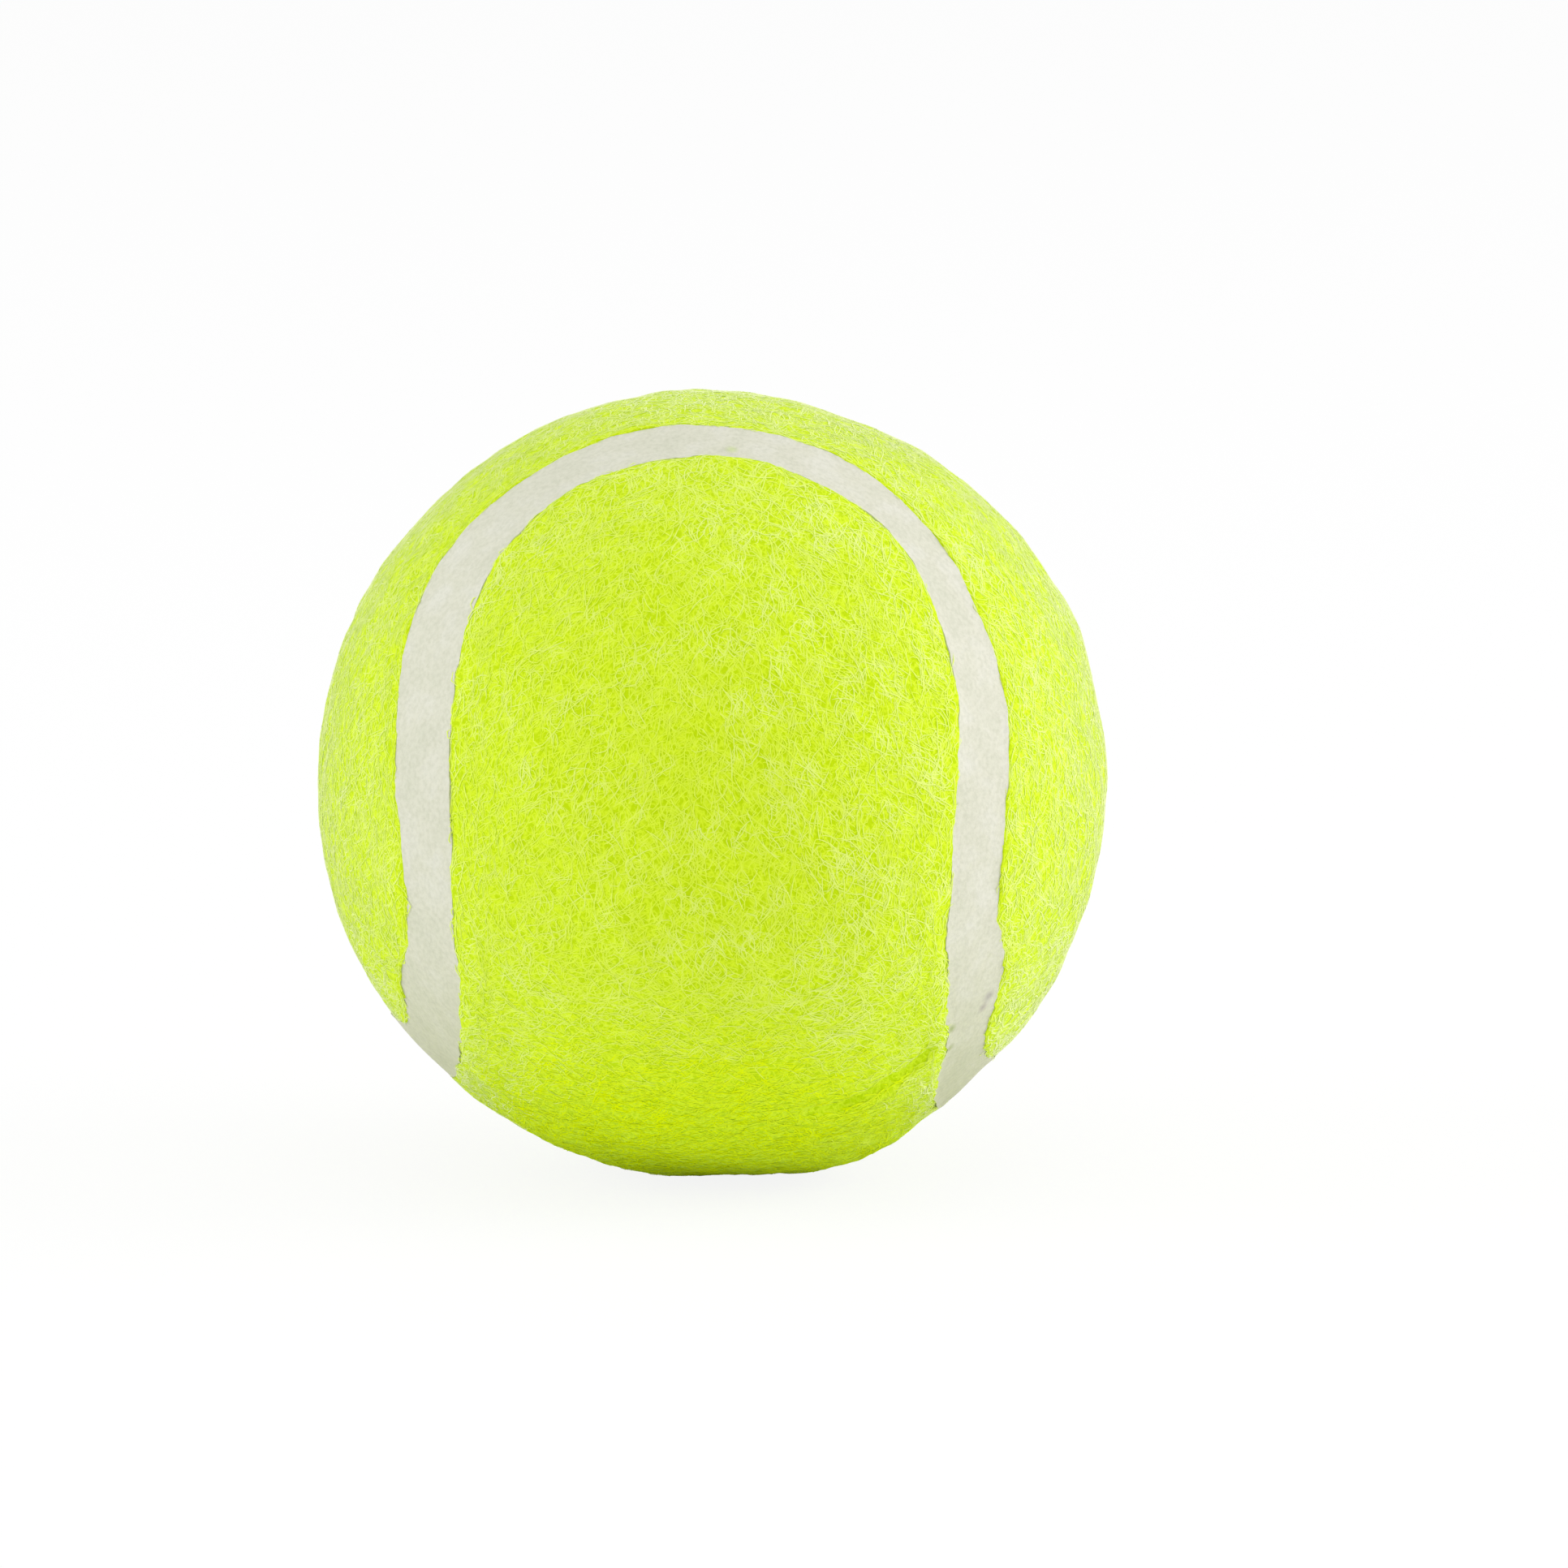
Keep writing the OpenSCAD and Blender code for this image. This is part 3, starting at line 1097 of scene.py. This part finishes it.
# %% [markdown]
# Fibres follow the lie only loosely: some are turned far from it, all curl to either side, and
# near the ground rolling has combed them along the floor. A fibre may hang over the cut edge by a
# hair's breadth, and keeps out of the crease. One that reaches too far is turned another way and
# shortened a little, a few times over, and left out if that doesn't help. Trimming it at the edge
# instead would leave blunt ends.

# %% Choose fibres that stay on their panel
LENGTH_SPREAD = 0.2
LENGTH_SHARES = (0.5, 1.5)
CURL = 1.8
LAID = 0.32
COMBED = 0.35
COMBED_BELOW = (-14 * MM, -6 * MM)
OVERHANG = 0.11 * MM
CREASE_SHY = (0.05, 0.6)
TRIES = 12
SHORTEN = 0.93


def choose_fibres(panel, kind, draws):
    """Spots and flat arcs of fibres that stay on their panel."""
    count = kind["count"]
    spots = scatter(panel, count, draws)
    length = kind["length"] * draws.normal(1, LENGTH_SPREAD, count).clip(*LENGTH_SHARES)
    curl = draws.normal(0, CURL, count)
    combed = spots @ UP * nap_r < draws.uniform(*COMBED_BELOW, count)
    order = np.where(combed, COMBED, LAID * np.sqrt(1 - spots[:, 2] ** 2))
    heading = np.where(combed, 0, lie_of_nap(panel, spots))
    heading += draws.uniform(-math.pi / 2, math.pi / 2, count) * (1 - order)
    overhang = draws.exponential(OVERHANG, count)
    crease_limit = draws.uniform(*CREASE_SHY, count)
    for _ in range(TRIES):
        flat = draw_flat(heading, length, curl, kind["points"])
        places = lay_out(spots, flat)
        inset = panel * across_seam(places) - seam_half
        outside = inset.reshape(count, -1).min(1) < -overhang
        outside |= near_crease(places).reshape(count, -1).max(1) > crease_limit
        heading[outside] = draws.uniform(0, math.pi, outside.sum())
        length[outside] *= SHORTEN
    return spots[~outside], flat[~outside]


print("fibres are combed below", [round(height / MM) for height in COMBED_BELOW], "mm")

# %% [markdown]
# The flat fibres become a mesh in one go: a curve object holds them as splines, and its bevel
# object is their section, a low triangle that the Z-up twist keeps upright. The sweep also makes
# a UV map. Building tubes point by point would take many more lines for the same faces.

# %% Section and sweep
FIBRE_HALF_W = 0.037 * MM
FIBRE_FOOT = -0.008 * MM
FIBRE_RIDGE = 0.003 * MM
SECTION = ((FIBRE_HALF_W, FIBRE_FOOT), (-FIBRE_HALF_W, FIBRE_FOOT), (0.0, FIBRE_RIDGE))


def fibre_section():
    """The section of a fibre, as a closed curve."""
    curve = bpy.data.curves.new("fibre_section", "CURVE")
    outline = curve.splines.new("POLY")
    outline.points.add(len(SECTION) - 1)
    outline.use_cyclic_u = True
    for point, place in zip(outline.points, SECTION):
        point.co = (*place, 0, 1)
    section = bpy.data.objects.new("fibre_section", curve)
    scene.collection.objects.link(section)
    return section


def sweep_fibres(name, paths, section):
    """A mesh of the section swept along every path, tapered to both ends."""
    count = paths.shape[1]
    taper = [0.0] + [1.0] * (count - 2) + [0.0]
    curve = bpy.data.curves.new(name, "CURVE")
    curve.dimensions = "3D"
    curve.twist_mode = "Z_UP"
    curve.bevel_mode = "OBJECT"
    curve.bevel_object = section
    for path in np.pad(paths, ((0, 0), (0, 0), (0, 1)), constant_values=1):
        spline = curve.splines.new("POLY")
        spline.points.add(count - 1)
        spline.points.foreach_set("co", path.ravel())
        spline.points.foreach_set("radius", taper)
    sweep = bpy.data.objects.new(name, curve)
    scene.collection.objects.link(sweep)
    view = bpy.context.evaluated_depsgraph_get()
    mesh = bpy.data.meshes.new_from_object(sweep.evaluated_get(view))
    bpy.data.objects.remove(sweep)
    bpy.data.curves.remove(curve)
    return mesh


print(f"a fibre is {2 * FIBRE_HALF_W / MM:.3f} mm wide and {(FIBRE_RIDGE - FIBRE_FOOT) / MM:.3f} mm high")

# %% [markdown]
# The map holds the tone of each fibre, which its finish reads. Unwrapping would spread the fibres
# over a square without any order. The points of a fibre are all in one run, so plain division of
# a point's number tells its fibre, its ring and its corner, and the map is written from those.

# %% Map the fibres
MAP_ALONG = 0.07
MAP_ROUND = 0.004


def corner_points(mesh):
    """The number of the point at each corner of each face."""
    corners = np.empty(len(mesh.loops), np.int32)
    mesh.loops.foreach_get("vertex_index", corners)
    return corners


def map_fibres(mesh, tones, draws):
    """Gives each fibre its place in the UV map: along it from side to side, its tones upwards."""
    count, points = tones.shape
    fibre, spot = np.divmod(corner_points(mesh), points * len(SECTION))
    ring, side = np.divmod(spot, len(SECTION))
    start = draws.uniform(0, 1 - MAP_ALONG * points, count)
    across = start[fibre] + MAP_ALONG * ring
    places = np.column_stack([across, tones[fibre, ring] + MAP_ROUND * side])
    layer = mesh.uv_layers[0]
    layer.name = FIBRE_MAP
    layer.data.foreach_set("uv", places.astype(np.float32).ravel())


print("a fibre takes up to", round(MAP_ALONG * TOP_FIBRES["points"], 2), "of the map's width")

# %% [markdown]
# A swept fibre still needs its finish and closed tips. The sweep leaves three points on each tip,
# which are merged. Its flat foot gets sharp edges, because soft shading across them would darken
# the ridge that is seen. Flat shading would do without them, but would show every facet.

# %% Feet, finishes and tips
FOOT_CORNERS = 2


def sharpen_foot(mesh):
    """Keeps the flat underside of the fibres out of their soft shading."""
    ends = np.empty(2 * len(mesh.edges), np.int32)
    mesh.edges.foreach_get("vertices", ends)
    first, last = (ends.reshape(-1, 2) % len(SECTION)).T
    mesh.edges.foreach_set("use_edge_sharp", (first == last) & (first < FOOT_CORNERS))


def finish_fibres(mesh, in_shade, points):
    """The fibres in the strip of painted shade near the ground get the shaded copy of the finish, without
    bloom.
    """
    mesh.materials.append(LOOSE_FIBRE)
    mesh.materials.append(SHADED_FIBRE)
    starts = np.empty(len(mesh.polygons), np.int32)
    mesh.polygons.foreach_get("loop_start", starts)
    fibre = corner_points(mesh)[starts] // (points * len(SECTION))
    mesh.polygons.foreach_set("material_index", in_shade[fibre].astype(np.int32))


def close_tips(mesh):
    """Merges the points of each tip and turns all faces outwards."""
    bm = bmesh.new()
    bm.from_mesh(mesh)
    bmesh.ops.remove_doubles(bm, verts=bm.verts, dist=SAME_PLACE)
    bmesh.ops.recalc_face_normals(bm, faces=bm.faces)
    bm.to_mesh(mesh)
    bm.free()


print(FOOT_CORNERS, "of the", len(SECTION), "corners of a fibre's section are its foot")

# %% [markdown]
# The tone of a fibre makes the felt look deep, and it carries painted light and shade. Whole patches are
# a little paler or deeper at random. Fibres lower in the mat are painted deeper, and so are the small
# pits, the crease and the strip near the ground: painted shade. The right side is painted paler, as
# painted light and bloom from the brighter lamp on the right. Lights alone couldn't show all this on
# fibres so flat, so the tone says it.

# %% Tones along the fibres
MOTTLE_WAVES = ((0.5, 3.2 * MM, 41), (0.3, 9 * MM, 42))
PIT_WAVES = ((0.5, 1.3 * MM, 43), (0.5, 0.8 * MM, 44))
MOTTLE_TONE = 0.19
LOW_SHADE_TONE = 0.5
# Painted light: the felt is painted paler towards the brighter lamp on the right
RIGHT_LIGHT_TONE = 0.22
PIT_SHADE_TONE = 0.34
CREASE_SHADE_TONE = 0.8
TONE_SPREAD = 0.04
LOW_SHADE_SPREAD = 0.06
TONE_RANGE = (0.02, 0.96)


def fibre_tones(spots, flat, kind, depth, draws):
    """A tone for each point of each fibre, from nought for the deepest to one for the palest, with
    painted shade and painted light in it.
    """
    low = lowness(spots)
    low_tone, high_tone = kind["tones"]
    # Fibres lower in the mat get a deeper tone: painted shade of the mat.
    tones = low_tone + (high_tone - low_tone) * depth
    # Near the ground the tone drops: painted shade under the ball.
    tones += MOTTLE_TONE * layered_waves(spots * nap_r, MOTTLE_WAVES) - LOW_SHADE_TONE * low
    tones += draws.normal(0, 1, len(spots)) * (TONE_SPREAD + LOW_SHADE_SPREAD * low)
    # The right half is painted paler: painted light and bloom from the brighter right lamp.
    tones += RIGHT_LIGHT_TONE * np.sqrt(spots[:, 0].clip(0, 1))
    along = lay_out(spots, flat)
    # Small pits, drawn only as tone, are painted deeper: painted shade.
    pits = np.clip(layered_waves(along * nap_r, PIT_WAVES), 0, 1)
    # Pits and the crease are painted deeper: painted shade.
    shade = PIT_SHADE_TONE * pits + CREASE_SHADE_TONE * near_crease(along)
    return (tones[:, None] - shade.reshape(flat.shape[:2])).clip(*TONE_RANGE)


# Wear in this print is the painted shade near the ground, and the pits are painted shade too.
print("tones run from", UNDER_FIBRES["tones"][0], "to", TOP_FIBRES["tones"][1], "before wear and pits")

# %% [markdown]
# Now a piece of nap can be made. The fibres lie at random heights in the mat and dive into it at
# both tips. The flat sweep is bent onto the ball: a point's place on the bench gives a direction,
# and its height is added to the felt ground there, or to the rubber where a fibre hangs over the
# edge. A Shrinkwrap modifier would press all fibres to one height, which would lose the mat.

# %% Lay the fibres on the ball
TIP_DIVE = 0.06 * MM
OVER_RUBBER = 0.05 * MM
# How soon the shaded copy of the finish takes over in the strip of painted shade
SHADED_COPY_LIMIT = 0.6


def bend_onto_ball(mesh, spots):
    """Lays each flat fibre on the felt at its spot, or on the rubber where it hangs over."""
    swept = mesh_points(mesh).reshape(len(spots), -1, 3)
    directions = lay_out(spots, swept[..., :2])
    over_rubber = np.abs(across_seam(directions)) < seam_half
    rubber_top = seam_r + bulge(directions, SEAM_SWELLS) + OVER_RUBBER
    radius = np.where(over_rubber, rubber_top, nap_ground(directions)) + swept[..., 2].ravel()
    set_points(mesh, as_made(directions * radius[:, None]))


def fibre_piece(name, spots, flat, kind, section, draws):
    """One piece of nap: drawn fibres are swept, laid on the felt and toned."""
    count, points = flat.shape[:2]
    depth = draws.uniform(0, 1, count)
    lift = kind["lowest"] + (kind["highest"] - kind["lowest"]) * depth
    height = np.repeat(lift[:, None], points, axis=1)
    height[:, [0, -1]] -= TIP_DIVE
    mesh = sweep_fibres(name, np.dstack([flat, height]), section)
    bend_onto_ball(mesh, spots)
    map_fibres(mesh, fibre_tones(spots, flat, kind, depth, draws), draws)
    sharpen_foot(mesh)
    # Fibres low in the shaded strip take the shaded copy of the finish: painted shade.
    finish_fibres(mesh, draws.uniform(0, SHADED_COPY_LIMIT, count) < lowness(spots), points)
    close_tips(mesh)
    shade_smooth(mesh)
    print(name, count, "fibres,", len(mesh.polygons), "faces")
    return put(name, mesh)


print(f"tips dive {TIP_DIVE / MM:.2f} mm into the mat")

# %% [markdown]
# Each panel gets two pieces of either kind. One piece for a whole panel would be shorter to write,
# but too heavy a mesh to handle by itself. Every piece has a seed of its own, so the same ball
# comes out each time. The section is only a tool and is taken away at the end.

# %% Both naps
PIECES_OF_A_KIND = 2
FRONT_SEED = 100
SIDE_SEED = 200


def nap(cover, panel, seed, section):
    """The fibre pieces of one panel."""
    pieces = []
    for number in range(1, PIECES_OF_A_KIND + 1):
        for kind in (UNDER_FIBRES, TOP_FIBRES):
            draws = np.random.default_rng(seed + len(pieces))
            spots, flat = choose_fibres(panel, kind, draws)
            name = f"{cover}_{kind['layer']}_fibres_{number}"
            pieces.append(fibre_piece(name, spots, flat, kind, section, draws))
    return pieces


section = fibre_section()
front_nap = nap("front_felt", FRONT_PANEL, FRONT_SEED, section)
side_nap = nap("side_felt", SIDE_PANEL, SIDE_SEED, section)
bpy.data.objects.remove(section)
print(len(front_nap) + len(side_nap), "pieces of nap")

# %% [markdown]
# ## What stands for what
# Each new piece takes over from the plain solid of the frame that it dresses, and rides on the one body
# that the ball is. The fibres dress the felt as well, but the ground below them already stands for the
# solid, so they only share its body.

# %% Replace and ride
covers = (
    (front_felt, "front_felt_panel", "felt"),
    (side_felt, "side_felt_panel", "felt"),
    (front_backing, "front_panel_backing", "woven_backing"),
    (side_backing, "side_panel_backing", "woven_backing"),
    (seam_band, "seam_band", "seam_rubber"),
)
for piece, node, slot in covers:
    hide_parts(node)
    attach(piece, "root")
for piece in front_nap + side_nap:
    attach(piece, "root")
print(len(covers), "pieces stand for solids of the frame")

# %% [markdown]
# The two covers were cut flat and stretched over the ball, so the size of the flat cut of felt and
# backing is worked out: across a lobe, and from lobe end to lobe end round the ball. A ruler on the mesh
# would give chords. The arcs at the middle of a sheet's thickness are what was cut.

def flat_cut(radius):
    """Width, length and area of a cover before it was stretched, from its arcs at that radius."""
    width = round(2 * end_edge * radius, 4)
    length = round((math.pi + 2 * end_edge) * radius, 4)
    band = 4 * math.pi * (math.cos(end_edge) - math.cos(side_edge))
    area = (4 * math.pi - band) / 2 * radius ** 2
    print(f"a cut of {width / MM:.1f} by {length / MM:.1f} mm, {area / MM ** 2:.0f} square mm")
    return (width, length), area


felt_flat, felt_area = flat_cut((nap_r + backing_r) / 2)
cloth_flat, cloth_area = flat_cut((backing_r + coat_r) / 2)

# %% [markdown]
# ## The pieces inside
# The core halves, the cement in their joint and the coat that bonds the cover to them are plain
# shapes, and nobody sees them until the ball is cut. The frame's own solids serve as they are, so
# only their finish is changed.

# %% Finish the pieces inside
inside = {
    "core_half_upper": CORE_RUBBER,
    "core_half_lower": CORE_RUBBER,
    "core_joint_cement": CEMENT,
    "core_bond_coat": CEMENT,
}
for node, finish in inside.items():
    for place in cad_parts[node].material_slots:
        place.material = finish
print("finished inside:", sorted(inside))
